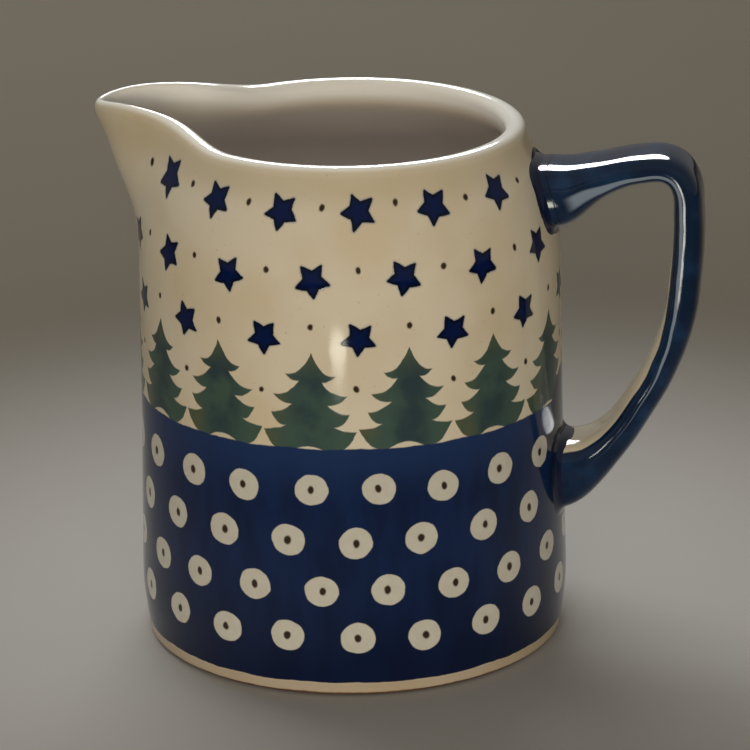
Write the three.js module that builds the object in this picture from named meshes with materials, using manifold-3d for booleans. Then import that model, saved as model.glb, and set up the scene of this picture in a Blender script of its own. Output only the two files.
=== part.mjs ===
// Stoneware pouring jug: a body thrown with its spout in one piece, and a strap
// handle made by itself and stuck on with slip at two roots.
// Millimetres, +Z up, spout towards -X, handle towards +X, standing on z = 0.
import * as THREE from 'three';
import { mergeVertices } from 'three/addons/utils/BufferGeometryUtils.js';
import Module from 'manifold-3d';

const wasm = await Module();
wasm.setup();

// ---------------------------------------------------------------- sizes

// Body
const rimHeight = 156.4;
const footRadius = 62.8;
const bellyRadius = 64.2;
const bellyHeight = 15;
const shoulderRadius = 62.4;
const shoulderHeight = 118;
const crestRadius = 49.2; // top of the rounded rim
const lipRadius = 3.3;
const lipLean = 18; // degrees: how far the shoulder leans in where the rim starts
const wall = 4.8;
const floorThickness = 7;

// Underside
const footRingWidth = 7;
const recessDepth = 1.6;
const footChamfer = 1;

// Spout
const spoutReach = 76; // from the body's axis to the tip
const spoutRise = 6.5; // tip above the rim
const spoutSpread = 16; // degrees from the tip at which the swelling has mostly gone
const spoutShelf = 8; // degrees each side of the tip where the rim stays high
const spoutEnd = 54; // degrees from the tip at which the rim is level again
const spoutDepth = 36; // how far below the rim the wall starts to swell

// Handle
const handleReach = 105; // from the body's axis to the outside of the bow
const handleWidth = 22;
const handleThickness = 8.4; // along the upper arm
const bowThickness = 9.4; // round the bow and down to the lower root
const bowStart = 45; // along the strap, where it begins to thicken
const bowEase = 30;
const upperRootHeight = 137;
const lowerRootHeight = 51.5;
const upperRootThickness = 18.5;
const lowerRootThickness = 22;
const rootWidth = 25;
const flareLength = 11;

// Slip joints
const slipThickness = 1.1;
const slipOverhang = 1.4;
const jointGap = 0.3; // left between touching pieces

// Fineness of the surfaces
const turns = 72;
const sweepSteps = 46;
const sectionSides = 24;

// The object's box is centred on the origin, so the axis sits off it.
const axisX = (spoutReach - handleReach) / 2;

// ---------------------------------------------------------------- helpers

function smooth(t) {
  const c = Math.min(Math.max(t, 0), 1);
  return c * c * (3 - 2 * c);
}

function samplePoints(points, count) {
  const curve = new THREE.SplineCurve(points.map(([r, z]) => new THREE.Vector2(r, z)));
  return curve.getPoints(count).map((p) => [p.x, p.y]);
}

function toManifold(geometry) {
  const bare = geometry.clone();
  bare.deleteAttribute('normal');
  bare.deleteAttribute('uv');
  const merged = mergeVertices(bare, 1e-4);
  return new wasm.Manifold(
    new wasm.Mesh({
      numProp: 3,
      vertProperties: new Float32Array(merged.attributes.position.array),
      triVerts: new Uint32Array(merged.index.array),
    }),
  );
}

function fromManifold(solid) {
  const mesh = solid.getMesh();
  const geometry = new THREE.BufferGeometry();
  geometry.setAttribute('position', new THREE.BufferAttribute(mesh.vertProperties, 3));
  geometry.setIndex(new THREE.BufferAttribute(mesh.triVerts, 1));
  return geometry;
}

// A closed skin over rings of points; each end is closed by one point.
function closedSkin(firstPole, rings, lastPole) {
  const sides = rings[0].length;
  const positions = [...firstPole, ...rings.flat(2), ...lastPole];
  const index = [];
  const last = 1 + rings.length * sides;
  for (let i = 0; i < sides; i += 1) {
    const next = (i + 1) % sides;
    index.push(0, 1 + next, 1 + i);
    for (let k = 0; k + 1 < rings.length; k += 1) {
      const a = 1 + k * sides;
      const b = a + sides;
      index.push(a + i, a + next, b + next, a + i, b + next, b + i);
    }
    index.push(last, last - sides + i, last - sides + next);
  }
  const geometry = new THREE.BufferGeometry();
  geometry.setAttribute('position', new THREE.Float32BufferAttribute(positions, 3));
  geometry.setIndex(index);
  return geometry;
}

// ---------------------------------------------------------------- body

const lean = THREE.MathUtils.degToRad(lipLean);
const neckRadius = crestRadius + lipRadius * Math.cos(lean);
const neckHeight = rimHeight - lipRadius * (1 - Math.sin(lean));

// Where the shoulder has got to at a share of the way from its foot to the neck.
function shoulderPoint(inwards, upwards, grow) {
  return [
    shoulderRadius - (shoulderRadius - neckRadius) * inwards + grow,
    shoulderHeight + (neckHeight - shoulderHeight) * upwards,
  ];
}

function outerProfile(grow = 0) {
  const wallHeight = shoulderHeight - bellyHeight;
  return samplePoints(
    [
      [footRadius + grow, footChamfer],
      [bellyRadius + grow, bellyHeight],
      [(bellyRadius + shoulderRadius) / 2 + grow, bellyHeight + wallHeight * 0.3],
      [shoulderRadius + 0.3 + grow, bellyHeight + wallHeight * 0.7],
      shoulderPoint(0, 0, grow),
      shoulderPoint(0.09, 0.33, grow),
      shoulderPoint(0.35, 0.61, grow),
      shoulderPoint(0.74, 0.83, grow),
      shoulderPoint(1, 1, grow),
    ],
    22,
  );
}

function spoutPush(angle, z) {
  const start = rimHeight - spoutDepth;
  const rise = (z - start) / (spoutDepth - lipRadius);
  const away = Math.abs(angle) / THREE.MathUtils.degToRad(spoutSpread);
  const swell = spoutReach - crestRadius - lipRadius;
  return swell * Math.exp(-(away ** 1.7)) * Math.min(Math.max(rise, 0), 1) ** 1.5;
}

function spoutLift(angle, z) {
  const share = smooth((z - (rimHeight - spoutDepth * 0.6)) / (spoutDepth * 0.6));
  const away = THREE.MathUtils.radToDeg(Math.abs(angle));
  return share * spoutRise * (1 - smooth((away - spoutShelf) / (spoutEnd - spoutShelf)));
}

function bodyProfile() {
  const ringInner = footRadius - footRingWidth;
  const outer = outerProfile();
  const rim = [];
  for (let k = 1; k <= 7; k += 1) {
    const a = lean + ((Math.PI - lean) * k) / 7;
    rim.push([crestRadius + lipRadius * Math.cos(a), rimHeight - lipRadius * (1 - Math.sin(a))]);
  }
  const inner = samplePoints(
    [
      [crestRadius - lipRadius + 0.2, rimHeight - lipRadius - 2.5],
      shoulderPoint(0.72, 0.75, -wall),
      shoulderPoint(0.33, 0.55, -wall),
      shoulderPoint(0.08, 0.28, -wall),
      shoulderPoint(0, -0.15, -wall),
      [bellyRadius - wall - 0.4, bellyHeight + 22],
      [bellyRadius - wall - 1.2, floorThickness + 9],
      [bellyRadius - wall - 5, floorThickness + 2.6],
      [bellyRadius - wall - 11, floorThickness + 0.4],
      [ringInner - 20, floorThickness],
    ],
    16,
  );
  return [
    [ringInner - 4, recessDepth],
    [ringInner, recessDepth],
    [ringInner + 0.6, 0],
    [footRadius - footChamfer, 0],
    ...outer,
    ...rim,
    ...inner,
  ];
}

function bodyGeometry() {
  const rings = bodyProfile().map(([r, z]) => {
    const ring = [];
    for (let i = 0; i < turns; i += 1) {
      const step = (2 * Math.PI * i) / turns;
      // closer together around the spout, which faces -X
      const fromSpout = step - 0.45 * Math.sin(step);
      const angle = fromSpout > Math.PI ? fromSpout - 2 * Math.PI : fromSpout;
      const radius = r + spoutPush(angle, z);
      ring.push([
        axisX - radius * Math.cos(angle),
        -radius * Math.sin(angle),
        z + spoutLift(angle, z),
      ]);
    }
    return ring;
  });
  return closedSkin([axisX, 0, recessDepth], rings, [axisX, 0, floorThickness]);
}

// The body's outside as a plain solid, grown by a clearance, to cut against.
function bodyCutter(grow) {
  const outline = outerProfile(grow).map(([r, z]) => new THREE.Vector2(r, z));
  const foot = new THREE.Vector2(0, 0);
  const top = new THREE.Vector2(0, neckHeight);
  const sole = new THREE.Vector2(footRadius + grow, 0);
  const lathe = new THREE.LatheGeometry([foot, sole, ...outline, top], 120);
  lathe.rotateX(Math.PI / 2);
  lathe.translate(axisX, 0, 0);
  return toManifold(lathe);
}

// ---------------------------------------------------------------- handle

// The middle of the strap, as shares of the way out to the bow and up between the roots.
const strapShape = [
  [-0.05, 0.99],
  [0.125, 1.0],
  [0.39, 1.056],
  [0.675, 1.098],
  [0.89, 1.094],
  [0.979, 1.036],
  [0.998, 0.94],
  [1.0, 0.845],
  [0.983, 0.72],
  [0.95, 0.58],
  [0.846, 0.42],
  [0.67, 0.26],
  [0.43, 0.105],
  [0.169, 0.015],
  [-0.01, -0.01],
  [-0.13, -0.018],
];

function bodyRadiusAt(height) {
  const profile = outerProfile();
  const k = Math.max(1, profile.findIndex(([, z]) => z >= height));
  const [r0, z0] = profile[k - 1];
  const [r1, z1] = profile[k];
  return r0 + ((r1 - r0) * (height - z0)) / (z1 - z0);
}

// Both roots start half way into the wall, wherever the wall is at their height.
function strapCurve() {
  const upper = bodyRadiusAt(upperRootHeight) - wall / 2;
  const lower = bodyRadiusAt(lowerRootHeight) - wall / 2;
  const end = handleReach - bowThickness / 2;
  const points = strapShape.map(([u, v]) => {
    const start = THREE.MathUtils.lerp(lower, upper, THREE.MathUtils.clamp(v, 0, 1));
    const height = THREE.MathUtils.lerp(lowerRootHeight, upperRootHeight, v);
    return new THREE.Vector3(axisX + start + u * (end - start), 0, height);
  });
  return new THREE.CatmullRomCurve3(points, false, 'centripetal');
}

// The strap's section at a share of its length: half width and half thickness.
function strapSection(curve, share, grow) {
  const length = curve.getLength();
  const fromTop = share * length;
  const fromBottom = (1 - share) * length;
  const rootOffset = wall / 2 + 5;
  const flareTop = Math.exp(-((Math.max(fromTop - rootOffset, 0) / flareLength) ** 1.5));
  const flareBottom = Math.exp(-((Math.max(fromBottom - rootOffset, 0) / flareLength) ** 1.5));
  const bow = smooth((fromTop - bowStart) / bowEase);
  const plain = THREE.MathUtils.lerp(handleThickness, bowThickness, bow);
  const thick =
    plain + (upperRootThickness - plain) * flareTop + (lowerRootThickness - plain) * flareBottom;
  const wide = handleWidth + (rootWidth - handleWidth) * Math.max(flareTop, flareBottom);
  return [wide / 2 + grow, thick / 2 + grow];
}

function strapGeometry(from, to, steps, grow) {
  const curve = strapCurve();
  const rings = [];
  let firstPole;
  let lastPole;
  for (let k = 0; k <= steps; k += 1) {
    const share = from + ((to - from) * k) / steps;
    const middle = curve.getPointAt(share);
    const along = curve.getTangentAt(share);
    const [halfWide, halfThick] = strapSection(curve, share, grow);
    const ring = [];
    for (let i = 0; i < sectionSides; i += 1) {
      const a = (2 * Math.PI * i) / sectionSides;
      const c = Math.cos(a);
      const s = Math.sin(a);
      const across = Math.sign(c) * Math.abs(c) ** 0.8 * halfWide;
      const out = Math.sign(s) * Math.abs(s) ** 0.8 * halfThick;
      ring.push([middle.x - along.z * out, across, middle.z + along.x * out]);
    }
    rings.push(ring);
    if (k === 0) firstPole = middle.toArray();
    lastPole = middle.toArray();
  }
  return closedSkin(firstPole, rings, lastPole);
}

const handleCut = bodyCutter(jointGap + slipThickness + jointGap);
const handleSolid = toManifold(strapGeometry(0, 1, sweepSteps, 0)).subtract(handleCut);

const slipOuter = bodyCutter(jointGap + slipThickness);
const slipInner = bodyCutter(jointGap);
const rootShare = (wall / 2 + 10) / strapCurve().getLength();

function slipSolid(from, to) {
  const root = toManifold(strapGeometry(from, to, 4, slipOverhang));
  return root.intersect(slipOuter).subtract(slipInner);
}

// ---------------------------------------------------------------- assembly

function piece(name, geometry, color, roughness) {
  const material = new THREE.MeshStandardMaterial({ color, roughness, metalness: 0 });
  const mesh = new THREE.Mesh(geometry, material);
  mesh.name = name;
  return mesh;
}

const jug = new THREE.Group();
jug.name = 'jug';
jug.add(
  piece('jug_body', bodyGeometry(), 0xd9d0bd, 0.12),
  piece('handle', fromManifold(handleSolid), 0x1d2c6e, 0.12),
  piece('upper_slip_joint', fromManifold(slipSolid(0, rootShare)), 0x24356f, 0.3),
  piece('lower_slip_joint', fromManifold(slipSolid(1 - rootShare, 1)), 0x24356f, 0.3),
);

export default jug;
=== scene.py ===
# %% [markdown]
# # A stamped stoneware jug
# The object is a pouring jug from a folk pottery: a thrown body with the spout
# pulled out of its rim, and a strap handle stuck on with slip.  Every colour is
# put on by hand with little sponge stamps and a broad brush, under one clear
# glossy glaze.  This script loads the measured model as a fixed frame, then
# models the visible clay over it and gives it its glaze and its stamping.

# %% Load the frame
import math

import bmesh
import bpy
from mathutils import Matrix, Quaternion, Vector


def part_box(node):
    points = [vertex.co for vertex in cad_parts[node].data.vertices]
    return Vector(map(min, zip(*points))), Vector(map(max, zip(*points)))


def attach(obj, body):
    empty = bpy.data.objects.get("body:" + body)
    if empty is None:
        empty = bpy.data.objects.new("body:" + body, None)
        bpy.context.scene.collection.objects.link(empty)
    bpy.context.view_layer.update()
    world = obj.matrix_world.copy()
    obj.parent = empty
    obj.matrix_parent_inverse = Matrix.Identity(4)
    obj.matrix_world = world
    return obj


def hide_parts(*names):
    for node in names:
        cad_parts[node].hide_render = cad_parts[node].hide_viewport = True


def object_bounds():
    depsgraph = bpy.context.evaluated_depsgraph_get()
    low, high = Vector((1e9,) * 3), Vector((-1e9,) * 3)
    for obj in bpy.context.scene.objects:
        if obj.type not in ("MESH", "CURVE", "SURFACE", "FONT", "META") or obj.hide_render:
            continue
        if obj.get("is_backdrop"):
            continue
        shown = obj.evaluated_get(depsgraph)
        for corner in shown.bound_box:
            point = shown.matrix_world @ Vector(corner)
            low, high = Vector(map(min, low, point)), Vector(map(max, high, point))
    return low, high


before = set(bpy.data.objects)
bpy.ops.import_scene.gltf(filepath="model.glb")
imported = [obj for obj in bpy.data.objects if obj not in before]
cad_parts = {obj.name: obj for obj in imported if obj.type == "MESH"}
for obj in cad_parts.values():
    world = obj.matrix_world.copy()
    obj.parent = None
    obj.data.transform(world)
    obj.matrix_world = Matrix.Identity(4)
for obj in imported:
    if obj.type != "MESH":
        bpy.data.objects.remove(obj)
CAD_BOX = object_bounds()
MM = 0.001
print("box", [round(v / MM, 1) for corner in CAD_BOX for v in corner])

# %% [markdown]
# The jug turns about an upright axis that is not the middle of its box, because
# the handle reaches further than the spout.  The body's own box gives the tip of
# the spout, and the tip's distance from the axis is a size of the jug, so the
# axis is found from the two.

# %% Where the axis stands
SPOUT_REACH = 76 * MM
AXIS_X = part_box("jug_body")[0][0] + SPOUT_REACH
print("axis at x =", round(AXIS_X / MM, 2), "mm")

# %% [markdown]
# The camera stands a little over a metre away with a long lens, looks down at
# about nineteen degrees, and has a slight lean.  It is made first, so that
# everything after it can be judged from where the jug is seen.

# %% Camera
CAMERA_TURN = math.radians(8.5)
CAMERA_ASIDE = math.radians(0.35)
CAMERA_PITCH = math.radians(18.89)
CAMERA_LEAN = math.radians(-0.79)
CAMERA_DISTANCE = 1.1327
CAMERA_HEIGHT = 0.4649


def look(turn, pitch, lean):
    """The turn of a camera that looks down by pitch and leans by lean."""
    return (
        Quaternion((0, 0, 1), turn)
        @ Quaternion((1, 0, 0), math.pi / 2 - pitch)
        @ Quaternion((0, 0, 1), lean)
    )


camera_data = bpy.data.cameras.new("camera")
camera_data.lens = 192
camera_data.sensor_width = 36
camera_data.clip_end = 20
camera = bpy.data.objects.new("camera", camera_data)
camera.location = (
    AXIS_X + CAMERA_DISTANCE * math.sin(CAMERA_TURN),
    -CAMERA_DISTANCE * math.cos(CAMERA_TURN),
    CAMERA_HEIGHT,
)
camera.rotation_mode = "QUATERNION"
camera.rotation_quaternion = look(CAMERA_TURN - CAMERA_ASIDE, CAMERA_PITCH, CAMERA_LEAN)
bpy.context.scene.collection.objects.link(camera)
bpy.context.scene.camera = camera
print("camera at", [round(v, 3) for v in camera.location])

# %% [markdown]
# ## Working in edit mode from code
# Modelling operators act on what is selected.  These few helpers do what a hand
# does between them: let go of everything, enter and leave edit mode, and apply a
# modifier once it has the right settings.


# %% Helpers for modelling
def let_go():
    if bpy.context.object and bpy.context.object.mode != "OBJECT":
        bpy.ops.object.mode_set(mode="OBJECT")
    bpy.ops.object.select_all(action="DESELECT")


def take(piece):
    let_go()
    piece.select_set(True)
    bpy.context.view_layer.objects.active = piece


def edit(piece):
    take(piece)
    bpy.ops.object.mode_set(mode="EDIT")


def leave():
    bpy.ops.object.mode_set(mode="OBJECT")


def settle(piece):
    """Put the piece's place, turn and scale into its mesh."""
    take(piece)
    bpy.ops.object.transform_apply(location=True, rotation=True, scale=True)


def apply_modifier(piece, kind, **settings):
    take(piece)
    modifier = piece.modifiers.new(kind.lower(), kind)
    for key, value in settings.items():
        setattr(modifier, key, value)
    bpy.ops.object.modifier_apply(modifier=modifier.name)


def close_up(piece):
    edit(piece)
    bpy.ops.mesh.select_all(action="SELECT")
    bpy.ops.mesh.remove_doubles(threshold=1e-6)
    bpy.ops.mesh.normals_make_consistent(inside=False)
    leave()


def count(piece):
    triangles = sum(len(p.vertices) - 2 for p in piece.data.polygons)
    print(piece.name, len(piece.data.vertices), "points", triangles, "triangles")


print("helpers ready")

# %% [markdown]
# ## The body
# A thrown pot is a profile turned about an axis.  The profile is drawn point by
# point: out across the hollow of the foot, down on to the ring it stands on, up
# the nearly straight wall, in over the shoulder, round the thick lip, and down
# the inside to the floor.  `spline` rounds the few heights and radii that a
# potter would measure into a fair line.

# %% Sizes of the body
RIM = 156.4 * MM
CREST = 49.2 * MM
LIP = 3.3 * MM
LEAN = math.radians(18)
WALL = 4.8 * MM
FOOT = 62.8 * MM
BELLY = 64.2 * MM
SHOULDER = 62.4 * MM
NECK = CREST + LIP * math.cos(LEAN)
NECK_HEIGHT = RIM - LIP * (1 - math.sin(LEAN))
SHOULDER_HEIGHT = 118 * MM


def spline(points, steps):
    """A fair line through the points, with so many steps between each two."""
    line = []
    for k in range(len(points) - 1):
        p1, p2 = Vector(points[k]), Vector(points[k + 1])
        p0 = Vector(points[k - 1]) if k else 2 * p1 - p2
        p3 = Vector(points[k + 2]) if k + 2 < len(points) else 2 * p2 - p1
        for s in range(steps):
            t = s / steps
            line.append(
                0.5
                * (
                    2 * p1
                    + (p2 - p0) * t
                    + (2 * p0 - 5 * p1 + 4 * p2 - p3) * t * t
                    + (3 * p1 - p0 - 3 * p2 + p3) * t**3
                )
            )
    line.append(Vector(points[-1]))
    return line


def on_shoulder(inwards, upwards, thickness=0.0):
    """A place on the shoulder, as shares of its way in and of its way up."""
    return (
        SHOULDER - (SHOULDER - NECK) * inwards - thickness,
        SHOULDER_HEIGHT + (NECK_HEIGHT - SHOULDER_HEIGHT) * upwards,
    )


print("neck", round(NECK / MM, 1), "mm at", round(NECK_HEIGHT / MM, 1))

# %% Draw the profile
UNDER_THE_FOOT = [
    (0, 1.6),
    (18, 1.6),
    (36, 1.6),
    (51, 1.6),
    (54.6, 1.4),
    (55.4, 0.5),
    (56.2, 0.05),
    (57.4, 0),
    (59.5, 0),
    (61.2, 0.1),
    (62.2, 0.5),
]
LIP_STEPS = 9

under = [(radius * MM, height * MM) for radius, height in UNDER_THE_FOOT]
outside = spline(
    [
        (FOOT - 0.1 * MM, 1.2 * MM),
        (FOOT + 0.1 * MM, 3.4 * MM),
        (FOOT + 0.7 * MM, 8 * MM),
        (BELLY, 16 * MM),
        (BELLY - 0.2 * MM, 28 * MM),
        (63.6 * MM, 46 * MM),
        (63.1 * MM, 66 * MM),
        (62.8 * MM, 88 * MM),
        on_shoulder(0, 0),
        on_shoulder(0.15, 0.33),
        on_shoulder(0.41, 0.61),
        on_shoulder(0.76, 0.83),
        (NECK, NECK_HEIGHT),
    ],
    3,
)
lip = []
for k in range(1, LIP_STEPS + 1):
    a = LEAN + (math.pi - LEAN) * k / LIP_STEPS
    lip.append((CREST + LIP * math.cos(a), RIM - LIP * (1 - math.sin(a))))
inside = spline(
    [
        (CREST - LIP + 0.05 * MM, RIM - LIP - 2.4 * MM),
        (CREST - LIP + 0.9 * MM, RIM - LIP - 5 * MM),
        on_shoulder(0.66, 0.70, WALL),
        on_shoulder(0.33, 0.54, WALL),
        on_shoulder(0.08, 0.28, WALL),
        on_shoulder(0, -0.15, WALL),
        (58.6 * MM, 60 * MM),
        (59.0 * MM, 34 * MM),
        (58.4 * MM, 16 * MM),
        (54.6 * MM, 9.8 * MM),
        (47 * MM, 7.4 * MM),
        (34 * MM, 7 * MM),
        (17 * MM, 7 * MM),
        (0, 7 * MM),
    ],
    2,
)
PROFILE = [tuple(p) for p in under + outside + lip + inside]
print("profile of", len(PROFILE), "points")

# %% [markdown]
# To turn the profile, one loose point is extruded from place to place in edit
# mode, and the chain is spun once round the axis.  The start and the end of the
# spin lie on each other, and so do all the copies of the two points on the
# axis, so they are merged.

# %% Spin the body
TURNS = 144

let_go()
bpy.ops.mesh.primitive_plane_add(size=0.01, location=(0, 0, 0))
body = bpy.context.object
body.name = "glazed_body"
edit(body)
bpy.ops.mesh.merge(type="CENTER")
here = Vector(PROFILE[0])
bpy.ops.transform.translate(value=(AXIS_X + here.x, 0, here.y))
for place in PROFILE[1:]:
    step = Vector(place) - here
    bpy.ops.mesh.extrude_region_move(TRANSFORM_OT_translate={"value": (step.x, 0, step.y)})
    here = Vector(place)
bpy.ops.mesh.select_all(action="SELECT")
bpy.ops.mesh.spin(
    steps=TURNS, angle=2 * math.pi, center=(AXIS_X, 0, 0), axis=(0, 0, 1)
)
leave()
close_up(body)
count(body)

# %% [markdown]
# Stamping follows the pot, not the room, so the body gets its own map before it
# is bent: once round the axis is one unit across, and the other way runs along
# the profile.  On the outside that is the height in metres, under the foot it is
# negative, and from just past the crest of the lip it goes on growing down the
# inside, so the glaze can tell inside from outside.

# %% Lay out the glazing map
PAST_THE_CREST = 5

PROFILE_LENGTH = []
last_outside = len(under) + len(outside) + PAST_THE_CREST
for k, (radius, height) in enumerate(PROFILE):
    if k < len(under):
        PROFILE_LENGTH.append(-(FOOT - radius))
    elif k <= last_outside:
        PROFILE_LENGTH.append(height)
    else:
        back = math.dist(PROFILE[k], PROFILE[k - 1])
        PROFILE_LENGTH.append(PROFILE_LENGTH[-1] + back)


def nearest_on_profile(radius, height):
    spans = [(radius - r) ** 2 + (height - z) ** 2 for r, z in PROFILE]
    return PROFILE_LENGTH[spans.index(min(spans))]


def map_turned(piece, name):
    mesh = bmesh.new()
    mesh.from_mesh(piece.data)
    layer = mesh.loops.layers.uv.new(name)
    along = {}
    for point in mesh.verts:
        radius = math.hypot(point.co.x - AXIS_X, point.co.y)
        along[point.index] = nearest_on_profile(radius, point.co.z)
    for face in mesh.faces:
        around = []
        for loop in face.loops:
            x, y = loop.vert.co.x - AXIS_X, loop.vert.co.y
            off_axis = math.hypot(x, y) > MM
            around.append(math.atan2(x, -y) / (2 * math.pi) if off_axis else None)
        known = [a for a in around if a is not None]
        around = [sum(known) / len(known) if a is None else a for a in around]
        if max(around) - min(around) > 0.5:
            around = [a + 1 if a < 0 else a for a in around]
        for loop, a in zip(face.loops, around):
            loop[layer].uv = (a, along[loop.vert.index])
    mesh.to_mesh(piece.data)
    mesh.free()


map_turned(body, "glazing")
print("map reaches", round(max(PROFILE_LENGTH) / MM), "mm along the profile")

# %% [markdown]
# A spout is pulled while the clay is wet: two fingers hold the rim and a third
# strokes it outwards between them.  That moves the clay along its radius, most
# at the tip, a third as much sixteen degrees to the side, and starting well below
# the rim.  The rim rises with it over a wider stretch, droops a little at the very
# tip, and is stroked thinner from inside.  Proportional editing would pull a round
# bump, so the points are moved by a rule of their direction and height instead.

# %% Pull the spout
SPOUT_SPREAD = math.radians(16)
SPOUT_SHELF = math.radians(8)
SPOUT_END = math.radians(54)
SPOUT_DEPTH = 36 * MM
SPOUT_RISE = 6.5 * MM
SPOUT_DROOP = 1.6 * MM
DROOP_SPREAD = math.radians(6)
THINNED_SHARE = 0.5
THINNED_SPREAD = math.radians(13)
THINNED_FROM = RIM - 20 * MM
THINNED_TO = RIM - 4 * MM


def ease(t):
    t = min(max(t, 0), 1)
    return t * t * (3 - 2 * t)


def body_radius(height):
    """The outer radius of the wall at a height."""
    for (r0, z0), (r1, z1) in zip(outside, outside[1:]):
        if z0 <= height <= z1:
            return r0 + (r1 - r0) * (height - z0) / (z1 - z0)
    return NECK if height > NECK_HEIGHT else FOOT


def spout_push(away, height):
    """How far outwards the clay goes, at an angle from the tip and a height."""
    share = (height - (RIM - SPOUT_DEPTH)) / (SPOUT_DEPTH - LIP)
    swell = SPOUT_REACH - CREST - LIP
    return swell * math.exp(-((away / SPOUT_SPREAD) ** 1.7)) * min(max(share, 0), 1) ** 1.5


def spout_lift(away, height):
    """How far upwards the clay goes; only the upper part of the spout rises."""
    share = ease((height - (RIM - SPOUT_DEPTH * 0.6)) / (SPOUT_DEPTH * 0.6))
    rise = SPOUT_RISE * (1 - ease((away - SPOUT_SHELF) / (SPOUT_END - SPOUT_SHELF)))
    droop = SPOUT_DROOP * math.exp(-((away / DROOP_SPREAD) ** 2))
    return share * (rise - droop)


def thinning(away, radius, height):
    """How far the stroking finger thins the wall from inside, near the tip."""
    depth = max(body_radius(height) - radius, 0)
    near_rim = ease((height - THINNED_FROM) / (THINNED_TO - THINNED_FROM))
    return THINNED_SHARE * depth * near_rim * math.exp(-((away / THINNED_SPREAD) ** 2))


def pull_spout(piece):
    for point in piece.data.vertices:
        x, y, z = point.co.x - AXIS_X, point.co.y, point.co.z
        radius = math.hypot(x, y)
        if radius < MM:
            continue
        away = abs(math.atan2(y, -x))
        longer = (radius + spout_push(away, z) + thinning(away, radius, z)) / radius
        point.co = (AXIS_X + x * longer, y * longer, z + spout_lift(away, z))


pull_spout(body)
apply_modifier(body, "SUBSURF", levels=1, render_levels=1, uv_smooth="NONE")
take(body)
bpy.ops.object.shade_smooth()
count(body)
print("tip at", round(min(v.co.x for v in body.data.vertices) / MM, 1), "mm")

# %% [markdown]
# ## The handle
# The strap is one bar of clay, left thick where it meets the pot, drawn thin
# along its upper arm and a little less thin round the bow.  It is easiest to make
# straight: a rounded section is extruded along the bar and scaled at each step.
# A curve then says how the strap bows, and the Curve modifier lays the bar along
# it.  The curve's points are shares: how far out from the wall to the bow, and
# how far up from the lower root to the upper one.

# %% The line of the strap
HANDLE_REACH = 105 * MM
UPPER_ROOT = 137 * MM
LOWER_ROOT = 51.5 * MM
STRAP_WIDTH = 22 * MM
STRAP_THICKNESS = 8.4 * MM
BOW_THICKNESS = 9.4 * MM
STRAP = [
    (-0.05, 0.99),
    (0.125, 1.0),
    (0.39, 1.056),
    (0.675, 1.098),
    (0.89, 1.094),
    (0.979, 1.036),
    (0.998, 0.94),
    (1.0, 0.845),
    (0.983, 0.72),
    (0.95, 0.58),
    (0.846, 0.42),
    (0.67, 0.26),
    (0.43, 0.105),
    (0.169, 0.015),
    (-0.01, -0.01),
    (-0.13, -0.018),
]


def wall_at(height):
    """The middle of the wall's thickness, out from the axis."""
    line = [p for p in outside if abs(p[1] - height) < 6 * MM]
    nearest = min(line, key=lambda p: abs(p[1] - height))
    return nearest[0] - WALL / 2


def strap_points():
    points = []
    bow = HANDLE_REACH - BOW_THICKNESS / 2
    for out, up in STRAP:
        share = min(max(up, 0), 1)
        start = wall_at(LOWER_ROOT) + (wall_at(UPPER_ROOT) - wall_at(LOWER_ROOT)) * share
        height = LOWER_ROOT + (UPPER_ROOT - LOWER_ROOT) * up
        points.append((AXIS_X + start + out * (bow - start), height))
    return points


strap_line = bpy.data.curves.new("strap_line", "CURVE")
strap_line.dimensions = "2D"
strap_line.resolution_u = 24
bezier = strap_line.splines.new("BEZIER")
bezier.bezier_points.add(len(STRAP) - 1)
for knot, (x, height) in zip(bezier.bezier_points, strap_points()):
    knot.co = (x, height, 0)
    knot.handle_left_type = knot.handle_right_type = "AUTO"
guide = bpy.data.objects.new("strap_line", strap_line)
bpy.context.scene.collection.objects.link(guide)
bpy.context.view_layer.update()
STRAP_LENGTH = bezier.calc_length()
print("strap is", round(STRAP_LENGTH / MM), "mm long")


# %% Draw the bar
UPPER_ROOT_THICKNESS = 18.5 * MM
LOWER_ROOT_THICKNESS = 22 * MM
ROOT_WIDTH = 25 * MM
ROOT_DEPTH = WALL / 2 + 5 * MM
ROOT_TAPER = 11 * MM
BOW_START = 45 * MM
BOW_EASE = 30 * MM


def strap_section(along):
    """Thickness and width at a distance along the strap."""
    top = math.exp(-((max(along - ROOT_DEPTH, 0) / ROOT_TAPER) ** 1.5))
    low = math.exp(-((max(STRAP_LENGTH - along - ROOT_DEPTH, 0) / ROOT_TAPER) ** 1.5))
    plain = STRAP_THICKNESS
    plain += (BOW_THICKNESS - STRAP_THICKNESS) * ease((along - BOW_START) / BOW_EASE)
    thick = plain + (UPPER_ROOT_THICKNESS - plain) * top + (LOWER_ROOT_THICKNESS - plain) * low
    wide = STRAP_WIDTH + (ROOT_WIDTH - STRAP_WIDTH) * max(top, low)
    return thick, wide


STRAP_STEPS = 60
SECTION_POINTS = 32
FULLNESS = 0.56


def start_section(name, place, thick, wide):
    """A full, rounded section across the X axis, in edit mode, all selected."""
    let_go()
    bpy.ops.mesh.primitive_circle_add(
        vertices=SECTION_POINTS, radius=1, fill_type="NGON", rotation=(0, math.pi / 2, 0)
    )
    piece = bpy.context.object
    piece.name = name
    settle(piece)
    for point in piece.data.vertices:
        for axis in (1, 2):
            out = point.co[axis]
            point.co[axis] = math.copysign(abs(out) ** FULLNESS, out) / 2
    edit(piece)
    bpy.ops.mesh.select_all(action="SELECT")
    bpy.ops.transform.resize(value=(1, thick, wide))
    bpy.ops.transform.translate(value=place)
    return piece


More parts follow.
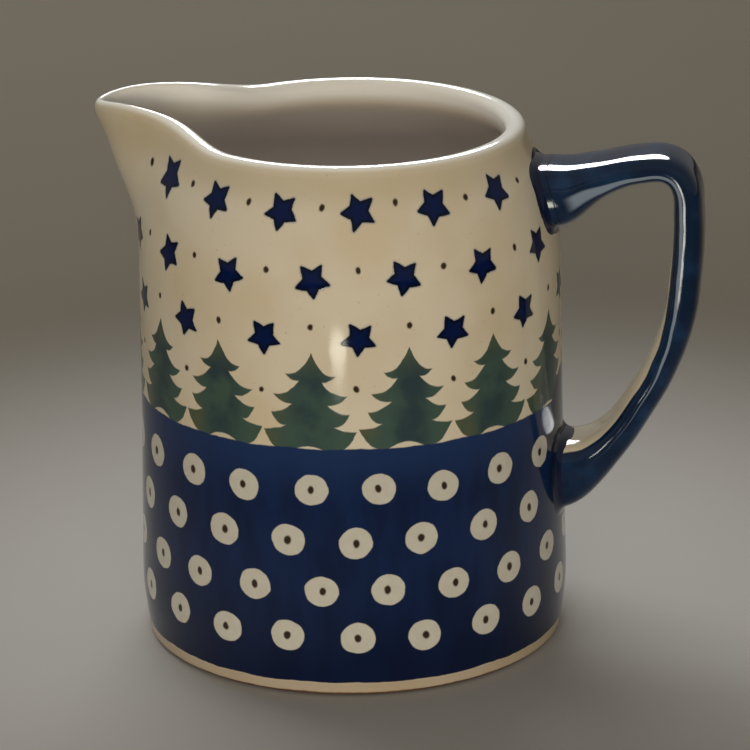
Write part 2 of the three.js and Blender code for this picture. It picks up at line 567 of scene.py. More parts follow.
handle = start_section("strap_handle", (0, 0, 0), *strap_section(0))
for k in range(STRAP_STEPS):
    before = strap_section(STRAP_LENGTH * k / STRAP_STEPS)
    after = strap_section(STRAP_LENGTH * (k + 1) / STRAP_STEPS)
    bpy.ops.mesh.extrude_region_move(
        TRANSFORM_OT_translate={"value": (STRAP_LENGTH / STRAP_STEPS, 0, 0)}
    )
    bpy.ops.transform.resize(value=(1, after[0] / before[0], after[1] / before[1]))
leave()
close_up(handle)
count(handle)

# %% [markdown]
# The glaze on the strap has to know which face the fingers touch and how far it
# is from each root.  Both are plain numbers while the bar is straight, so they
# are written into its map now: across the map runs from the finger side, minus
# one, to the outer side, and up the map is the distance along the strap.

# %% Lay out the strap's map
layer = handle.data.uv_layers.new(name="strap")
for loop in handle.data.loops:
    spot = handle.data.vertices[loop.vertex_index].co
    layer.data[loop.index].uv = (2 * spot.y / strap_section(spot.x)[0], spot.x)
print("strap map on", len(handle.data.loops), "corners")

# %% [markdown]
# The Curve modifier lays the bar along the line, still flat on the ground, and a
# quarter turn stands it up in the plane of the jug.  A potter scribes the ends
# to the round wall; here each end is sheared by a rule so that its face follows
# the middle of the wall at every height.


# %% Bend, stand up and scribe
SCRIBED = 14 * MM
TUCKED_OUT = 1.2 * MM


def surface_x(y, height):
    """Where along X the outside of the body is, at a side step and a height."""
    radius = body_radius(height)
    return AXIS_X + math.sqrt(max(radius**2 - y**2, 0))


apply_modifier(handle, "CURVE", object=guide, deform_axis="POS_X")
take(handle)
handle.rotation_euler = (math.pi / 2, 0, 0)
settle(handle)
bpy.data.objects.remove(guide)
distance = {}
for loop in handle.data.loops:
    distance[loop.vertex_index] = handle.data.uv_layers["strap"].data[loop.index].uv.y
for point in handle.data.vertices:
    along = distance[point.index]
    from_end = min(along, STRAP_LENGTH - along)
    middle = wall_at(UPPER_ROOT if along < STRAP_LENGTH / 2 else LOWER_ROOT)
    target = surface_x(point.co.y, point.co.z) - WALL / 2
    hold = 1 - ease(from_end / SCRIBED)
    point.co.x += (target - (AXIS_X + middle) + TUCKED_OUT) * hold
apply_modifier(handle, "SUBSURF", levels=1, render_levels=1, uv_smooth="NONE")
close_up(handle)
take(handle)
bpy.ops.object.shade_smooth()
count(handle)
for axis in (0, 1, 2):
    reach = [v.co[axis] / MM for v in handle.data.vertices]
    print("xyz"[axis], round(min(reach), 1), "to", round(max(reach), 1))

# %% [markdown]
# ## The two joints
# Where strap meets pot the potter works a roll of slip into the corner with a
# wet finger.  It is a little hollow fillet that runs all the way round the root.
# It is made from the same rounded section as the strap: the edge is extruded
# outwards and down to the wall, on into the wall, back under the strap, and
# bridged shut, so that it is a closed ring.  Then every point is moved along X
# by as far as the round wall is there, and the upper edge is shrunk on to the
# strap.  `ROLL` says how much bigger than the strap's section each edge is and how
# far it stands off the wall, in millimetres, and `GRIP` how firmly it is shrunk on.

# %% Model a fillet
ROLL = [
    (-0.8, 3.9),
    (-0.25, 3.6),
    (0.06, 2.7),
    (0.28, 1.8),
    (0.62, 1.05),
    (1.15, 0.5),
    (1.8, 0.15),
    (2.5, -0.12),
    (2.5, -1.3),
    (-0.8, -1.3),
]
GRIP = [1, 1, 0.9, 0.6, 0.35, 0.15, 0.05, 0, 0, 0]


def root_fillet(name, height, slope, from_top):
    def half_sizes(grow, out):
        along = WALL + out * MM
        thick, wide = strap_section(along if from_top else STRAP_LENGTH - along)
        return thick / 2 + grow * MM, wide / 2 + grow * MM

    z, y = half_sizes(*ROLL[0])
    first = ROLL[0][1] * MM
    piece = start_section(name, (first, 0, 0), 2 * z, 2 * y)
    bpy.ops.transform.rotate(value=math.pi / 2, orient_axis="X", center_override=(first, 0, 0))
    bpy.ops.transform.translate(value=(0, 0, height + slope * first))
    bpy.ops.mesh.delete(type="ONLY_FACE")
    bpy.ops.mesh.select_all(action="SELECT")
    ring = [v.index for v in bmesh.from_edit_mesh(piece.data).verts]
    for before, after in zip(ROLL, ROLL[1:]):
        (z0, y0), (z1, y1) = half_sizes(*before), half_sizes(*after)
        step = (after[1] - before[1]) * MM
        bpy.ops.mesh.extrude_edges_move(
            TRANSFORM_OT_translate={"value": (step, 0, slope * step)}
        )
        bpy.ops.transform.resize(value=(1, y1 / y0, z1 / z0))
    shape = bmesh.from_edit_mesh(piece.data)
    shape.verts.ensure_lookup_table()
    for index in ring:
        shape.verts[index].select = True
    shape.select_flush(True)
    bpy.ops.mesh.bridge_edge_loops()
    leave()
    grip = piece.vertex_groups.new(name="grip")
    for index, point in enumerate(piece.data.vertices):
        hold = GRIP[index // len(ring)]
        grip.add([index], hold, "REPLACE")
        point.co.x += surface_x(point.co.y, point.co.z)
    apply_modifier(
        piece, "SHRINKWRAP", target=handle, offset=-0.15 * MM, vertex_group="grip"
    )
    apply_modifier(piece, "SUBSURF", levels=2, render_levels=2)
    close_up(piece)
    take(piece)
    bpy.ops.object.shade_smooth()
    count(piece)
    return piece


print("the fillet stands", max(o for _, o in ROLL), "mm off the wall")

# %% Make both fillets
UPPER_FILLET = 136.4 * MM
LOWER_FILLET = 50.8 * MM
UPPER_SLOPE = 0.06
LOWER_SLOPE = 0.16

upper_fillet = root_fillet("upper_root_fillet", UPPER_FILLET, UPPER_SLOPE, True)
lower_fillet = root_fillet("lower_root_fillet", LOWER_FILLET, LOWER_SLOPE, False)
for piece in (upper_fillet, lower_fillet):
    for axis in (0, 2):
        reach = [v.co[axis] / MM for v in piece.data.vertices]
        print(piece.name, "xyz"[axis], round(min(reach), 1), "to", round(max(reach), 1))

# %% [markdown]
# ## Glaze and colour
# The decoration is not a picture but a set of rules: where each stamp sits, what
# its outline is, and what colour it leaves.  Blender can hold such rules as
# nodes.  Written out by hand they would fill pages, so `Recipe` adds a node for
# each sum and hands back its answer, and a pattern then reads like arithmetic.


# %% A recipe for nodes
class Recipe:
    def __init__(self, name):
        self.material = bpy.data.materials.new(name)
        self.material.use_nodes = True
        self.nodes = self.material.node_tree.nodes
        self.nodes.clear()
        self.place = self.add("ShaderNodeTexCoord").outputs["Object"]

    def put(self, socket, value):
        if isinstance(value, bpy.types.NodeSocket):
            self.material.node_tree.links.new(value, socket)
        else:
            socket.default_value = value

    def add(self, kind, **settings):
        node = self.nodes.new(kind)
        for key, value in settings.items():
            setattr(node, key, value)
        return node

    def sum(self, operation, *values, clamp=False):
        node = self.add("ShaderNodeMath", operation=operation, use_clamp=clamp)
        for socket, value in zip(node.inputs, values):
            self.put(socket, value)
        return node.outputs[0]

    def ramp(self, value, low, high, kind="SMOOTHSTEP", to=(0, 1), clamp=True):
        node = self.add("ShaderNodeMapRange", interpolation_type=kind, clamp=clamp)
        for socket, part in zip(node.inputs, (value, low, high, *to)):
            self.put(socket, part)
        return node.outputs[0]

    def most(self, values):
        answer = values[0]
        for value in values[1:]:
            answer = self.sum("MAXIMUM", answer, value)
        return answer

    def noise(self, size, detail=2, stretch=(1, 1, 1), colour=False):
        """Clouds whose lumps are about size across, in metres."""
        spot = self.add("ShaderNodeMapping")
        self.put(spot.inputs["Vector"], self.place)
        spot.inputs["Scale"].default_value = stretch
        cloud = self.add("ShaderNodeTexNoise")
        self.put(cloud.inputs["Vector"], spot.outputs[0])
        cloud.inputs["Scale"].default_value = 0.5 / size
        cloud.inputs["Detail"].default_value = detail
        return cloud.outputs["Color" if colour else "Fac"]

    def mix(self, share, a, b):
        node = self.add("ShaderNodeMix", data_type="RGBA")
        self.put(node.inputs[0], share)
        self.put(node.inputs[6], a)
        self.put(node.inputs[7], b)
        return node.outputs[2]

    def fire(self, colour, roughness, bump, depth, gloss=0.5):
        """Finish the recipe as a fired, glossy surface."""
        clay = self.add("ShaderNodeBsdfPrincipled")
        self.put(clay.inputs["Base Color"], colour)
        self.put(clay.inputs["Roughness"], roughness)
        clay.inputs["Specular IOR Level"].default_value = gloss
        relief = self.add("ShaderNodeBump")
        relief.inputs["Strength"].default_value = 1.0
        relief.inputs["Distance"].default_value = depth
        self.put(relief.inputs["Height"], bump)
        self.put(clay.inputs["Normal"], relief.outputs[0])
        out = self.add("ShaderNodeOutputMaterial")
        self.put(out.inputs["Surface"], clay.outputs[0])
        print(self.material.name, "has", len(self.nodes), "nodes")
        return self.material


def paint(red, green, blue):
    """A colour as a screen shows it, turned into the light it sends back."""
    parts = [v / 255 for v in (red, green, blue)]
    parts = [v / 12.92 if v <= 0.04045 else ((v + 0.055) / 1.055) ** 2.4 for v in parts]
    return (*parts, 1)


CREAM = paint(206, 194, 170)
CREAM_WARM = paint(198, 182, 152)
PALE_RIM_HIGHLIGHT = paint(238, 234, 224)
SHOULDER_SHADE = paint(176, 160, 126)
BLUE = paint(14, 34, 70)
BLUE_DEEP = paint(5, 16, 42)
BAND_TOP_REFLECTION = paint(28, 48, 86)
STAR_BLUE = paint(2, 20, 62)
STAR_EDGE = paint(1, 8, 30)
BLEED_BLUE = paint(96, 122, 140)
DOT_BROWN = paint(50, 37, 27)
TREE_TEAL = paint(20, 50, 58)
TREE_GREEN = paint(50, 76, 66)
TREE_OLIVE = paint(70, 78, 56)
BISCUIT = paint(112, 84, 60)
COBALT = paint(8, 28, 52)
COBALT_THIN = paint(18, 46, 76)
PAINTED_EDGE_HIGHLIGHT = paint(122, 134, 148)
print("cream", [round(v, 3) for v in CREAM])

# %% [markdown]
# ### Where a stamp lands
# A row of stamps is a count, a phase in degrees from the front, a height and the
# wall's radius there.  Multiplying the turn by the count makes one whole number
# for each stamp; what is left over is how far a point is from the middle of the
# nearest one.  A painter's hand is never exact, so white noise fed with the
# stamp's own number shifts and tilts every one a little, and two clouds of noise,
# one slow and one quick, make every painted edge waver.


# %% Rows of stamps
FRONT = 8.5
WAVERS = [(6 * MM, 1.3, 0.0034), (1.4 * MM, 0.5, 0.0018)]


def hand_wobble(recipe, height, turn):
    """The map in millimetres and turns, with the small waver of a painted edge."""
    for size, upwards, sideways in WAVERS:
        split = recipe.add("ShaderNodeSeparateColor")
        recipe.put(split.inputs[0], recipe.noise(size, 2, colour=True))
        up = recipe.sum("MULTIPLY_ADD", split.outputs[1], upwards, -upwards / 2)
        side = recipe.sum("MULTIPLY_ADD", split.outputs[0], sideways, -sideways / 2)
        height, turn = recipe.sum("ADD", height, up), recipe.sum("ADD", turn, side)
    return height, turn


def stamp_row(recipe, turn, height, count, phase, at, radius, row, stray=1.0):
    """Across and up from the nearest stamp's middle in millimetres, and its chance.

    The row's own number makes its chances differ from every other row's, and
    stray is how many millimetres a stamp may land off its place, all told.
    """
    place = recipe.sum("MULTIPLY_ADD", turn, count, -(phase + FRONT) / 360 * count)
    number = recipe.sum("FLOOR", recipe.sum("ADD", place, 0.5))
    wrapped = recipe.sum("FLOORED_MODULO", number, count)
    chance = recipe.add("ShaderNodeTexWhiteNoise", noise_dimensions="2D")
    both = recipe.add("ShaderNodeCombineXYZ")
    recipe.put(both.inputs[0], wrapped)
    recipe.put(both.inputs[1], float(row))
    recipe.put(chance.inputs["Vector"], both.outputs[0])
    split = recipe.add("ShaderNodeSeparateColor")
    recipe.put(split.inputs[0], chance.outputs["Color"])
    across = recipe.sum("SUBTRACT", place, number)
    across = recipe.sum("MULTIPLY", across, 2 * math.pi * radius / count)
    aside = recipe.sum("MULTIPLY_ADD", split.outputs[0], stray, -stray / 2)
    above = recipe.sum("MULTIPLY_ADD", split.outputs[1], stray, -stray / 2)
    up = recipe.sum("SUBTRACT", height, at)
    return recipe.sum("ADD", across, aside), recipe.sum("ADD", up, above), split.outputs[2]


def round_stamp(recipe, across, up, radius, soft=0.25, squash=1.0):
    """A round mask; squash above one makes it less tall than wide."""
    tall = recipe.sum("MULTIPLY", up, squash)
    far = recipe.sum("POWER", across, 2)
    far = recipe.sum("SQRT", recipe.sum("ADD", far, recipe.sum("POWER", tall, 2)))
    return recipe.ramp(far, radius + soft, radius - soft)


print("a row knows its count, its phase and its height")

# %% [markdown]
# ### Stars
# The star stamp has five arms, one of them pointing more or less at the ground.
# Folding the angle round the middle five times, with a ping-pong, turns the five
# arms into one half arm, and its edge is then a single straight line.  Close to
# the edge the colour is darker, and outside it a little blue bleeds into the
# glaze.

# %% A star stamp
STAR_OUT = 5.7
STAR_IN = 3.05
STAR_BLUNT = 0.45


def star_stamp(recipe, across, up, chance):
    """The star's own mask, the mask of its heart, and the mask of its bleed."""
    tilt = recipe.sum("MULTIPLY_ADD", chance, 0.5, -0.25)
    angle = recipe.sum("ARCTAN2", across, recipe.sum("MULTIPLY", up, -1))
    angle = recipe.sum("PINGPONG", recipe.sum("ADD", angle, tilt), math.pi / 5)
    square = recipe.sum("ADD", recipe.sum("POWER", across, 2), recipe.sum("POWER", up, 2))
    far = recipe.sum("SQRT", square)
    along = recipe.sum("MULTIPLY", far, recipe.sum("COSINE", angle))
    aside = recipe.sum("MULTIPLY", far, recipe.sum("SINE", angle))
    notch = (STAR_IN * math.cos(math.pi / 5), STAR_IN * math.sin(math.pi / 5))
    length = math.hypot(notch[1], STAR_OUT - notch[0])
    slope = (notch[1] / length, (STAR_OUT - notch[0]) / length)
    edge = recipe.sum("MULTIPLY_ADD", along, slope[0], -STAR_OUT * slope[0])
    edge = recipe.sum("MULTIPLY_ADD", aside, slope[1], edge)
    tip = recipe.sum("SUBTRACT", far, STAR_OUT - STAR_BLUNT)
    edge = recipe.sum("SMOOTH_MAX", edge, tip, 0.3)
    masks = [(0.16, -0.16), (-0.2, -1.5), (0.6, 0.05)]
    return [recipe.ramp(edge, low, high) for low, high in masks]


print("arms", STAR_OUT, "mm long, notches", STAR_IN)

# %% [markdown]
# ### Fir trees
# A fir is four skirts one over another.  Each skirt hangs from the one above to
# a sharp tip, on a line that curves like a branch under snow, and its under edge
# cuts back to the trunk.  The same small function draws all four, each from three
# places: where it hangs, its tip and its notch, in millimetres out from the trunk
# and up from the foot of the tree.

# %% A fir stamp
SKIRTS = [
    ((0.0, 29.5), (7.3, 22.2), (3.1, 20.2)),
    ((3.0, 20.8), (10.8, 16.2), (4.9, 13.2)),
    ((4.7, 13.9), (11.6, 10.5), (6.6, 6.7)),
    ((6.3, 7.6), (13.8, 5.4), (6.6, -0.6)),
]
UPPER_CURVE = 2.6
UNDER_CURVE = 2.7
CUT_BACK = 8


def skirt(recipe, side, up, hang, tip, notch):
    fall = recipe.ramp(side, hang[0], tip[0], "LINEAR", (1, 0))
    fall = recipe.sum("POWER", fall, UPPER_CURVE)
    over = recipe.sum("MULTIPLY_ADD", fall, hang[1] - tip[1], tip[1])
    rise = recipe.ramp(side, notch[0], tip[0], "LINEAR", (0, 1), clamp=False)
    under = recipe.sum("POWER", recipe.sum("MAXIMUM", rise, 0), UNDER_CURVE)
    under = recipe.sum("MULTIPLY_ADD", under, tip[1] - notch[1], notch[1])
    back = recipe.sum("MULTIPLY", recipe.sum("MINIMUM", rise, 0), CUT_BACK)
    under = recipe.sum("ADD", under, back)
    below, above = recipe.sum("SUBTRACT", over, up), recipe.sum("SUBTRACT", up, under)
    return recipe.ramp(recipe.sum("MINIMUM", below, above), -0.25, 0.3)


def fir_stamp(recipe, across, up):
    side = recipe.sum("ABSOLUTE", across)
    tree = recipe.most([skirt(recipe, side, up, *rule) for rule in SKIRTS])
    crown = recipe.sum("MULTIPLY_ADD", recipe.sum("POWER", side, 2), -0.06, 1.2)
    arch = recipe.ramp(recipe.sum("SUBTRACT", crown, up), -0.2, 0.3)
    return recipe.sum("SUBTRACT", tree, arch, clamp=True)


print("a fir has", len(SKIRTS), "skirts")

# %% [markdown]
# ### The body's glaze
# Now the rules are put together.  First every stamp is laid out: three rows of
# stars and four of small dots on the cream, four rows of discs on the blue band,
# each disc with its own dot, and the firs that stand on the band.  The uppermost
# stars keep clear of the tip of the spout and of the strap's root.

# %% Lay out every stamp
STAR_ROWS = [(16, 3.0, 145, 57.6), (15, 13.9, 126.2, 62.0), (14, 2.0, 109.3, 62.5)]
DOT_ROWS = [
    (16, 14.2, 146.2, 57.0),
    (15, 1.9, 128.8, 61.8),
    (14, 14.9, 112.5, 62.5),
    (14, 1.6, 94.0, 62.8),
]
DISC_ROWS = [(20, 6.5, 63.8), (20, 0.0, 48.4), (20, 9.0, 33.1), (20, 0.0, 18.8)]
DISC_RADIUS = 4.95
BAND_TOP = 76.5
BAND_FOOT = 4.3
BAND_WALL = 63.6
FIR_ROW = (14, 14.5, BAND_TOP, 62.9)
SPOUT_AT = -0.25
STRAP_AT = 0.25

glaze = Recipe("decorated_glaze")
uv = glaze.add("ShaderNodeUVMap", uv_map="glazing")
split_uv = glaze.add("ShaderNodeSeparateXYZ")
glaze.put(split_uv.inputs[0], uv.outputs[0])
plain_height = glaze.sum("MULTIPLY", split_uv.outputs[1], 1000)
height, turn = hand_wobble(glaze, plain_height, split_uv.outputs[0])

stars, star_hearts, star_bleeds = [], [], []
for row, (number, phase, at, radius) in enumerate(STAR_ROWS):
    across, up, chance = stamp_row(glaze, turn, height, number, phase, at, radius, row)
    star, heart, bleed = star_stamp(glaze, across, up, chance)
    stars.append(star)
    star_hearts.append(heart)
    star_bleeds.append(bleed)
from_spout, from_strap = (
    glaze.sum("ABSOLUTE", glaze.sum("SUBTRACT", split_uv.outputs[0], at))
    for at in (SPOUT_AT, STRAP_AT)
)
room_for_stamp = glaze.sum(
    "MULTIPLY", glaze.ramp(from_spout, 0.045, 0.047), glaze.ramp(from_strap, 0.062, 0.064)
)
stars[0] = glaze.sum("MULTIPLY", stars[0], room_for_stamp)
star_bleeds[0] = glaze.sum("MULTIPLY", star_bleeds[0], room_for_stamp)
star_mask, star_heart = glaze.most(stars), glaze.most(star_hearts)
star_bleed = glaze.most(star_bleeds)

dots = []
for row, (number, phase, at, radius) in enumerate(DOT_ROWS):
    across, up, chance = stamp_row(
        glaze, turn, height, number, phase, at, radius, 10 + row, 1.6
    )
    dots.append(round_stamp(glaze, across, up, 0.8, 0.3, 0.85))

discs, disc_dots = [], []
for row, (number, phase, at) in enumerate(DISC_ROWS):
    across, up, chance = stamp_row(
        glaze, turn, height, number, phase, at, BAND_WALL, 20 + row, 1.1
    )
    discs.append(round_stamp(glaze, across, up, DISC_RADIUS, 0.22, 1.06))
    off = glaze.sum("MULTIPLY_ADD", chance, 0.8, -0.4)
    disc_dots.append(round_stamp(glaze, glaze.sum("ADD", across, off), up, 1.0, 0.3, 0.8))
disc_mask, disc_dot = glaze.most(discs), glaze.most(disc_dots)

across, up, chance = stamp_row(glaze, turn, height, *FIR_ROW, 40, 0.9)
lean = glaze.sum("MULTIPLY", up, glaze.sum("MULTIPLY_ADD", chance, 0.1, -0.05))
fir_across = glaze.sum("ADD", across, lean)
fir = fir_stamp(glaze, fir_across, up)
print(len(STAR_ROWS), "rows of stars,", len(DOT_ROWS), "of dots,", len(DISC_ROWS), "of discs")

# %% [markdown]
# The colours then go over one another, from the cream glaze up.  The rim is left
# paler where the glaze runs thin, and its pale band is also a painted highlight
# for the light on its top.  A faint tan band below it is painted shade on the
# shoulder.  Over that go the dots and stars, the firs with their teal middle and
# olive tips, and the band, lighter at the top as a painted reflection and darker
# towards the foot as painted shade.  The strap's blue runs a few millimetres on to
# the wall round its roots.  Below the band the foot's cream is darker, partly
# thinner glaze and partly painted shade by the table.  The foot is wiped clean of
# glaze, so its edge is bare brown stoneware.  Just inside the lip a greyer band is
# painted shade.

# %% Colours over one another
DISC_CLAY = [paint(196, 191, 176), paint(180, 173, 156)]
THIN_GLAZE_AND_SHADE_FOOT = paint(150, 128, 102)
BARE_DARK = paint(84, 60, 42)
INNER_LIP_SHADE = paint(190, 182, 174)
INNER_WALL = paint(226, 217, 212)
ROOT_COLLARS = [(136.6, 12.4, 16.0), (51.5, 15.5, 17.0), (67, 17, 16)]

clouds = glaze.noise(16 * MM, 3)
fine = glaze.noise(1.5 * MM, 3)
specks = glaze.ramp(glaze.noise(0.55 * MM, 1), 0.72, 0.8)
colour = glaze.mix(glaze.ramp(clouds, 0.35, 0.7), CREAM, CREAM_WARM)
colour = glaze.mix(glaze.sum("MULTIPLY", specks, 0.25), colour, BISCUIT)
# Painted shade: the upper shoulder below the rim is darkened to a tan.
shoulder_shade_band = glaze.sum(
    "MULTIPLY", glaze.ramp(plain_height, 143, 151), glaze.ramp(plain_height, 156, 153)
)
colour = glaze.mix(glaze.sum("MULTIPLY", shoulder_shade_band, 0.5), colour, SHOULDER_SHADE)
colour = glaze.mix(glaze.most(dots), colour, DOT_BROWN)

star_colour = glaze.mix(star_heart, STAR_EDGE, STAR_BLUE)
colour = glaze.mix(glaze.sum("MULTIPLY", star_bleed, 0.45), colour, BLEED_BLUE)
colour = glaze.mix(star_mask, colour, star_colour)

sponge = glaze.noise(5 * MM, 3)
middle = glaze.ramp(glaze.sum("ABSOLUTE", fir_across), 9.5, 2.5)
pool = glaze.sum("MULTIPLY", middle, glaze.ramp(sponge, 0.3, 0.62))
fir_colour = glaze.mix(pool, TREE_GREEN, TREE_TEAL)
tips = glaze.sum("MULTIPLY", glaze.ramp(fir_across, -3.5, -10), glaze.ramp(sponge, 0.35, 0.6))
crown = glaze.sum("MULTIPLY", glaze.ramp(up, 19, 29), 0.6)
fir_colour = glaze.mix(glaze.most([tips, crown]), fir_colour, TREE_OLIVE)
colour = glaze.mix(glaze.sum("MULTIPLY", fir, 0.97), colour, fir_colour)

band = glaze.sum(
    "MULTIPLY",
    glaze.ramp(height, BAND_TOP + 0.25, BAND_TOP - 0.25),
    glaze.ramp(height, BAND_FOOT - 0.2, BAND_FOOT + 0.2),
)
streaks = glaze.noise(4 * MM, 3, (1, 1, 0.3))
streaky = glaze.sum("MULTIPLY", glaze.ramp(streaks, 0.35, 0.68), 0.6)
band_colour = glaze.mix(streaky, BLUE, BLUE_DEEP)
# Painted reflection and shade: the band is mixed lighter towards its top and darker towards the
# foot.
high = glaze.ramp(height, 58, 76)
band_colour = glaze.mix(glaze.sum("MULTIPLY", high, 0.85), band_colour, BAND_TOP_REFLECTION)
low = glaze.ramp(height, 45, 6)
band_colour = glaze.mix(glaze.sum("MULTIPLY", low, 0.75), band_colour, BLUE_DEEP)
disc_colour = glaze.mix(fine, *DISC_CLAY)
disc_colour = glaze.mix(disc_dot, disc_colour, DOT_BROWN)
band_colour = glaze.mix(disc_mask, band_colour, disc_colour)
# Below the band the cream is darkened: partly thinner glaze, partly painted shade near the
# table.
foot_glaze_and_shade = glaze.ramp(height, BAND_FOOT + 0.6, BAND_FOOT - 0.6)
colour = glaze.mix(glaze.sum("MULTIPLY", foot_glaze_and_shade, 0.6), colour, THIN_GLAZE_AND_SHADE_FOOT)
colour = glaze.mix(band, colour, band_colour)

roots = []
for at, half_tall, half_wide in ROOT_COLLARS:
    across, upwards, _ = stamp_row(glaze, turn, height, 1, 90 - FRONT, at, 62.0, 50, 0.0)
    roots.append(round_stamp(glaze, across, upwards, half_wide, 0.3, half_wide / half_tall))
root_paint = glaze.most(roots)
colour = glaze.mix(root_paint, colour, glaze.mix(clouds, BLUE_DEEP, COBALT))

bare = glaze.sum(
    "MULTIPLY", glaze.ramp(height, 1.5, 0.9), glaze.ramp(plain_height, -9.5, -8.5)
)
clay_colour = glaze.mix(fine, BISCUIT, BARE_DARK)
# The rim's pale band: partly glaze run thin, partly a painted highlight for light on its top.
pale_rim_highlight = glaze.sum(
    "MULTIPLY", glaze.ramp(plain_height, 154.8, 156.2), glaze.ramp(plain_height, 164, 159)
)
colour = glaze.mix(glaze.sum("MULTIPLY", pale_rim_highlight, 0.85), colour, PALE_RIM_HIGHLIGHT)
# Painted shade: a greyer band just inside the lip.
inner_lip_shade = glaze.ramp(plain_height, 159, 168)
colour = glaze.mix(glaze.sum("MULTIPLY", inner_lip_shade, 0.8), colour, INNER_LIP_SHADE)
colour = glaze.mix(glaze.ramp(plain_height, 172, 200), colour, INNER_WALL)
colour = glaze.mix(bare, colour, clay_colour)

waves = glaze.noise(11 * MM, 1)
thick_paint = glaze.sum("MULTIPLY", glaze.most([star_mask, fir, band, root_paint]), 0.10)
relief = glaze.sum("ADD", glaze.sum("MULTIPLY", waves, 0.55), thick_paint)
relief = glaze.sum("MULTIPLY_ADD", fine, 0.02, relief)
relief = glaze.sum("MULTIPLY_ADD", glaze.sum("MULTIPLY", fine, bare), 0.5, relief)
shine = glaze.sum("MULTIPLY_ADD", fine, 0.05, 0.07)
shine = glaze.sum("MULTIPLY_ADD", bare, 0.6, shine)
body.data.materials.append(glaze.fire(colour, shine, relief, 0.35 * MM, 0.32))

# %% [markdown]
# ### The strap's glaze
# The strap is brushed with cobalt lengthways, and where the coat is thin it is a
# lighter blue.  The brush did not go under the fingers, so the inner face is
# cream, with a wavering edge.  A soft pale line is a painted highlight: it follows
# the side of the upper arm round to the bow, standing in for the reflection along
# that edge, and it is widest by the root.

# %% Glaze of the strap
strap_glaze = Recipe("cobalt_glaze")
uv = strap_glaze.add("ShaderNodeUVMap", uv_map="strap")
split_uv = strap_glaze.add("ShaderNodeSeparateXYZ")
strap_glaze.put(split_uv.inputs[0], uv.outputs[0])
waver = strap_glaze.sum("MULTIPLY_ADD", strap_glaze.noise(9 * MM, 2), 0.3, -0.15)
across = strap_glaze.sum("ADD", split_uv.outputs[0], waver)
along = split_uv.outputs[1]
line = strap_glaze.ramp(along, 0.055, 0.115, to=(-0.95, -0.72))
finger_face = strap_glaze.ramp(strap_glaze.sum("SUBTRACT", line, across), -0.03, 0.03)
clear_of_roots = strap_glaze.sum(
    "MULTIPLY",
    strap_glaze.ramp(along, 0.013, 0.0145),
    strap_glaze.ramp(along, STRAP_LENGTH - 0.011, STRAP_LENGTH - 0.0125),
)
finger_face = strap_glaze.sum("MULTIPLY", finger_face, clear_of_roots)
brush = strap_glaze.noise(5 * MM, 3)
thin = strap_glaze.ramp(brush, 0.42, 0.75)
colour = strap_glaze.mix(thin, COBALT, COBALT_THIN)
fine = strap_glaze.noise(1.5 * MM, 3)
# Painted highlight: a pale line along the strap's side stands in for the reflection on that
# edge.
highlight_line = strap_glaze.sum(
    "ADD",
    strap_glaze.ramp(along, 0.06, 0.13, to=(-0.42, 0.0)),
    strap_glaze.ramp(along, 0.03, 0.012, to=(0, 0.14)),
)
highlight_width = strap_glaze.sum(
    "ADD",
    strap_glaze.ramp(along, 0.09, 0.125, to=(0.18, 0.07)),
    strap_glaze.ramp(along, 0.034, 0.012, to=(-0.04, 0.14)),
)
off_highlight = strap_glaze.sum("ABSOLUTE", strap_glaze.sum("SUBTRACT", across, highlight_line))
painted_highlight = strap_glaze.sum(
    "MULTIPLY",
    strap_glaze.ramp(off_highlight, highlight_width, strap_glaze.sum("MULTIPLY", highlight_width, 0.5)),
    strap_glaze.sum(
        "MULTIPLY",
        strap_glaze.ramp(along, 0.009, 0.013),
        strap_glaze.ramp(along, 0.145, 0.1),
    ),
)
colour = strap_glaze.mix(strap_glaze.sum("MULTIPLY", painted_highlight, 0.9), colour, PAINTED_EDGE_HIGHLIGHT)
colour = strap_glaze.mix(finger_face, colour, strap_glaze.mix(fine, CREAM, CREAM_WARM))
waves = strap_glaze.noise(9 * MM, 1)
relief = strap_glaze.sum("MULTIPLY_ADD", fine, 0.03, waves)
relief = strap_glaze.sum("MULTIPLY_ADD", finger_face, -0.08, relief)
shine = strap_glaze.sum("MULTIPLY_ADD", fine, 0.04, 0.06)
handle.data.materials.append(strap_glaze.fire(colour, shine, relief, 0.4 * MM))

# %% [markdown]
# ### The joints' glaze
# The brush went over the slip as well, and the coat is thickest there, so the
# two fillets are the darkest blue.

# %% Glaze of the joints
slip_glaze = Recipe("joint_slip_glaze")
brush = slip_glaze.noise(5 * MM, 3)
colour = slip_glaze.mix(slip_glaze.ramp(brush, 0.42, 0.8), BLUE_DEEP, COBALT)
fine = slip_glaze.noise(1.5 * MM, 3)
relief = slip_glaze.sum("MULTIPLY_ADD", fine, 0.03, slip_glaze.noise(7 * MM, 1))
shine = slip_glaze.sum("MULTIPLY_ADD", fine, 0.04, 0.06)
slip_material = slip_glaze.fire(colour, shine, relief, 0.4 * MM)
for piece in (upper_fillet, lower_fillet):
    piece.data.materials.append(slip_material)

# %% [markdown]
# ## Each piece stands for its part of the frame
# Nothing on the jug moves, so every piece rides on the one body of the frame.

# %% Ride and replace
for piece, node, finish in [
    (body, "jug_body", "decorated_glaze"),
    (handle, "handle", "cobalt_glaze"),
    (upper_fillet, "upper_slip_joint", "joint_slip"),
    (lower_fillet, "lower_slip_joint", "joint_slip"),
]:
    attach(piece, "root")
    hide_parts(node)
    print(piece.name, "stands for", node)

# %% [markdown]
# ## The table
# The jug stands on a plain pale table.  Away from the jug it is painted darker,
# a painted shade on every side alike, so the cream rim stands out against it.

# %% Table
TABLE_RADIUS = 6

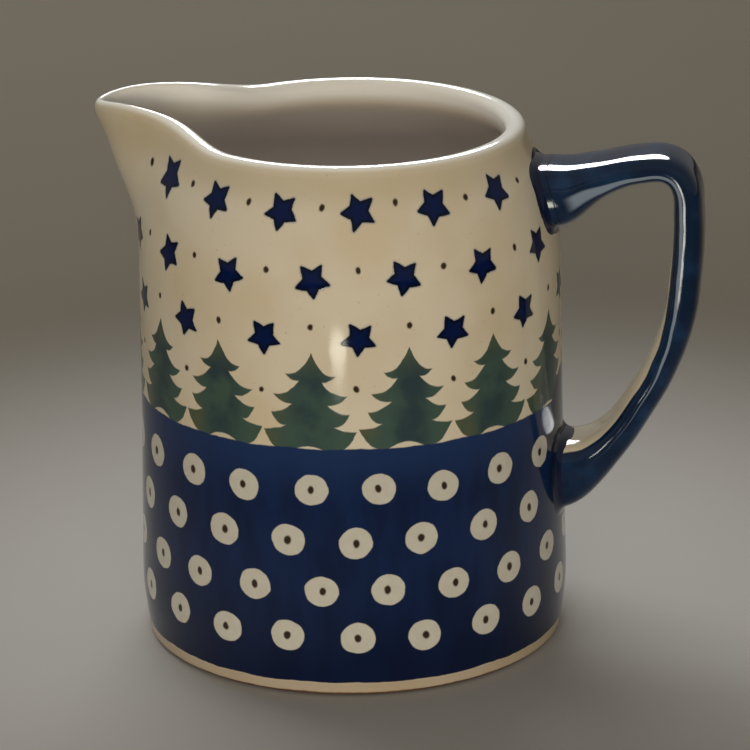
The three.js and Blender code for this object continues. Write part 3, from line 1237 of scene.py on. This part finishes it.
let_go()
bpy.ops.mesh.primitive_circle_add(
    vertices=96, radius=TABLE_RADIUS, fill_type="NGON", location=(0, 0, 0)
)
table = bpy.context.object
table.name = "table"
edit(table)
bpy.ops.mesh.select_all(action="SELECT")
bpy.ops.mesh.inset(thickness=TABLE_RADIUS / 2)
leave()
top = Recipe("pale_table")
split_place = top.add("ShaderNodeSeparateXYZ")
top.put(split_place.inputs[0], top.place)
far = top.sum("POWER", split_place.outputs[0], 2)
far = top.sum("SQRT", top.sum("ADD", far, top.sum("POWER", split_place.outputs[1], 2)))
clouds = top.noise(120 * MM, 3)
near = top.mix(clouds, paint(172, 168, 162), paint(164, 159, 152))
# Painted shade: away from the jug the table's colour is darker.
away = top.mix(clouds, paint(104, 97, 86), paint(98, 91, 80))
grain = top.noise(2 * MM, 2)
colour = top.mix(top.ramp(far, 0.08, 0.34), near, away)
table.data.materials.append(top.fire(colour, 0.6, grain, 0.05 * MM, 0.0))
table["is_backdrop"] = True
print("table is", 2 * TABLE_RADIUS, "m across")

# %% [markdown]
# ## The light
# A cool window behind and to the left lights the rim and the table, and a warm
# fill comes from the front.  Neither shows in the glaze.  What shows there is
# given by two lamps that light nothing else: one high behind, which runs along
# the rim and the strap, and a small one that lies on the table in front of the
# jug and draws one upright streak on the wall.


# %% Lights
def softbox(name, place, aim, size, power, colour, task):
    """A lamp that gives only LIGHT, or is only seen, as by a MIRROR, in a gloss."""
    lamp = bpy.data.lights.new(name, "AREA")
    lamp.shape = "ELLIPSE" if task == "MIRROR" else "RECTANGLE"
    lamp.size, lamp.size_y = size
    lamp.energy = power
    lamp.color = colour
    holder = bpy.data.objects.new(name, lamp)
    holder.location = place
    holder.rotation_euler = (Vector(aim) - Vector(place)).to_track_quat("-Z", "Y").to_euler()
    holder.visible_camera = False
    holder.visible_glossy = task != "LIGHT"
    holder.visible_diffuse = task != "MIRROR"
    bpy.context.scene.collection.objects.link(holder)


softbox("window", (-0.45, 0.9, 1.0), (0, 0, 0.12), (1.3, 0.8), 18, (0.93, 0.97, 1), "LIGHT")
softbox("glint", (-0.1, 1.2, 1.2), (0, 0, 0.15), (1.0, 0.8), 60, (0.95, 0.98, 1), "MIRROR")
softbox("fill", (0.2, -1.7, 0.3), (0, 0, 0.08), (1.0, 0.4), 18.5, (1, 0.94, 0.85), "LIGHT")
softbox("low", (0.0, -0.41, 0.003), (0.0, -0.41, 1), (0.06, 0.1), 0.2, (1, 0.98, 0.84), "MIRROR")
world = bpy.data.worlds.new("room")
world.use_nodes = True
bpy.context.scene.world = world
room = world.node_tree.nodes["Background"]
room.inputs[0].default_value = (0.62, 0.60, 0.56, 1)
room.inputs[1].default_value = 0.36
bpy.context.scene.view_settings.view_transform = "Standard"
print("a window, a fill, two lights for the gloss, and the room's own light")

# %% [markdown]
# ## The last measure
# The frame's box and the box of what is seen are printed side by side, so that
# the size of the one can be held against the other.

# %% Print both sizes
SEEN_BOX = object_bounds()
sizes = {
    "cad": [list(corner) for corner in CAD_BOX],
    "visual": [list(corner) for corner in SEEN_BOX],
}
for name, box in sizes.items():
    print(name, [[round(v / MM, 1) for v in corner] for corner in box])
